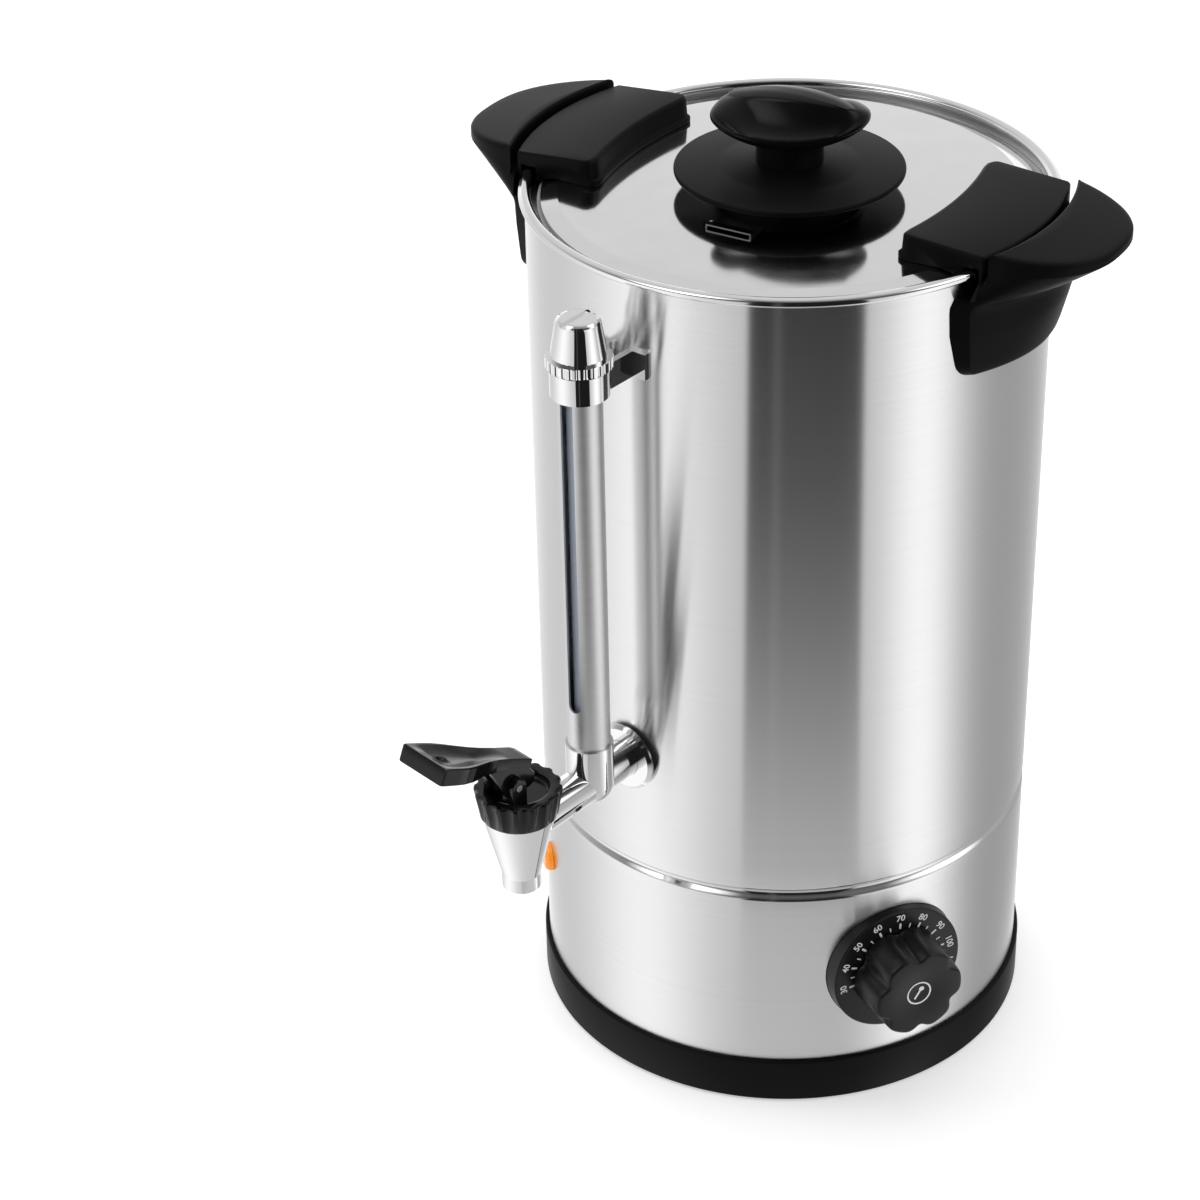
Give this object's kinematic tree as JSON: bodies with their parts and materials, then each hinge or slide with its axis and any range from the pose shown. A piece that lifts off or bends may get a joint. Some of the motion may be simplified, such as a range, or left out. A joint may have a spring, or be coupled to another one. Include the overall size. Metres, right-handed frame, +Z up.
{
  "type": "hot water urn",
  "caption": "Stainless steel hot water urn with a twist-off lid, moulded side handles, lever tap, tube sight gauge and a thermostat dial.",
  "frame": {"origin": "on the urn's axis, on the surface it stands on", "axes": "+Z up along the urn's axis, -Y towards the tap, +X to the right seen from the front"},
  "size_m": [0.299, 0.3596, 0.448],
  "materials": {
    "brushed_steel": "vertically brushed",
    "polished_steel": "polished",
    "chrome": "polished",
    "zinc_steel": "zinc plated",
    "aluminium": "as cast",
    "black_plastic": "satin",
    "gloss_black": "gloss",
    "black_rubber": "matt",
    "silicone": "matt",
    "glass": "clear",
    "amber": "translucent",
    "steatite": "matt",
    "brass": "satin",
    "copper": "drawn tube",
    "red_plastic": "gloss"
  },
  "bodies": {
    "urn": {"body_shell": "brushed_steel", "lid_seat_ring": "polished_steel", "tank_floor": "polished_steel", "heat_plate": "aluminium", "heating_element": "zinc_steel", "tie_stud": "zinc_steel", "tie_nut": "zinc_steel", "base_ring": "black_plastic", "base_plate": "zinc_steel", "feet": "black_rubber", "foot_screws": "zinc_steel", "thermostat_body": "steatite", "thermostat_screws": "zinc_steel", "sensor_bulb": "copper", "boil_dry_cutout": "steatite", "terminal_block": "steatite", "terminal_screws": "brass", "earth_screw": "brass", "cord_gland": "black_plastic", "gland_nut": "black_plastic", "dial_plate": "black_plastic", "lamp_lens": "amber", "lamp_body": "black_plastic", "tap_flange": "chrome", "tap_outer_seal": "silicone", "tap_inner_seal": "silicone", "tap_lock_nut": "brass", "tap_body": "chrome", "tap_spring": "polished_steel", "tap_bonnet": "black_plastic", "lever_pin": "polished_steel", "gauge_glass": "glass", "gauge_lower_seal": "silicone", "gauge_upper_seal": "silicone", "gauge_shield": "chrome", "gauge_bracket": "chrome", "gauge_cap": "chrome", "handle_right": "black_plastic", "handle_left": "black_plastic", "handle_bolts": "zinc_steel", "handle_washers": "silicone"},
    "gasket": {"lid_gasket": "silicone"},
    "lid": {"lid_pan": "polished_steel", "knob_shield": "black_plastic", "knob_grip": "gloss_black", "knob_screw": "zinc_steel", "lid_grip_right": "black_plastic", "lid_grip_left": "black_plastic", "lid_grip_rivets": "zinc_steel"},
    "dial": {"dial_knob": "black_plastic", "thermostat_spindle": "zinc_steel"},
    "lever": {"tap_lever": "gloss_black"},
    "valve": {"valve_stem": "polished_steel", "valve_cup": "silicone", "stem_pin": "polished_steel"},
    "reset": {"reset_button": "red_plastic"}
  },
  "joints": [
    {"name": "lid_twist", "type": "hinge", "parent": "urn", "child": "gasket", "pos_m": [0, 0, 0.4], "axis": [0, 0, 1], "range_deg": [0, 40]},
    {"name": "lid_lift", "type": "slide", "parent": "gasket", "child": "lid", "axis": [0, 0, 1], "range_m": [0, 0.08]},
    {"name": "dial_turn", "type": "hinge", "parent": "urn", "child": "dial", "pos_m": [0.1222, -0.0596, 0.0706], "axis": [0.8988, -0.4384, 0], "range_deg": [-200, 0]},
    {"name": "lever_press", "type": "hinge", "parent": "urn", "child": "lever", "pos_m": [-0.00085, -0.19045, 0.2038], "axis": [0.9925, -0.1219, 0], "range_deg": [0, 30], "stiffness_Nm_per_rad": 0.4, "springref_deg": -17.19},
    {"name": "stem_lift", "type": "slide", "parent": "urn", "child": "valve", "axis": [0, 0, 1], "range_m": [0, 0.0036], "deforming": ["tap_spring"]},
    {"name": "reset_press", "type": "slide", "parent": "urn", "child": "reset", "axis": [0, 0, 1], "range_m": [0, 0.0015], "stiffness_N_per_m": 300, "springref_m": -0.002}
  ],
  "couplings": [
    {"joint": "stem_lift", "follows": "lever_press", "m_per_rad": 0.0066845}
  ]
}
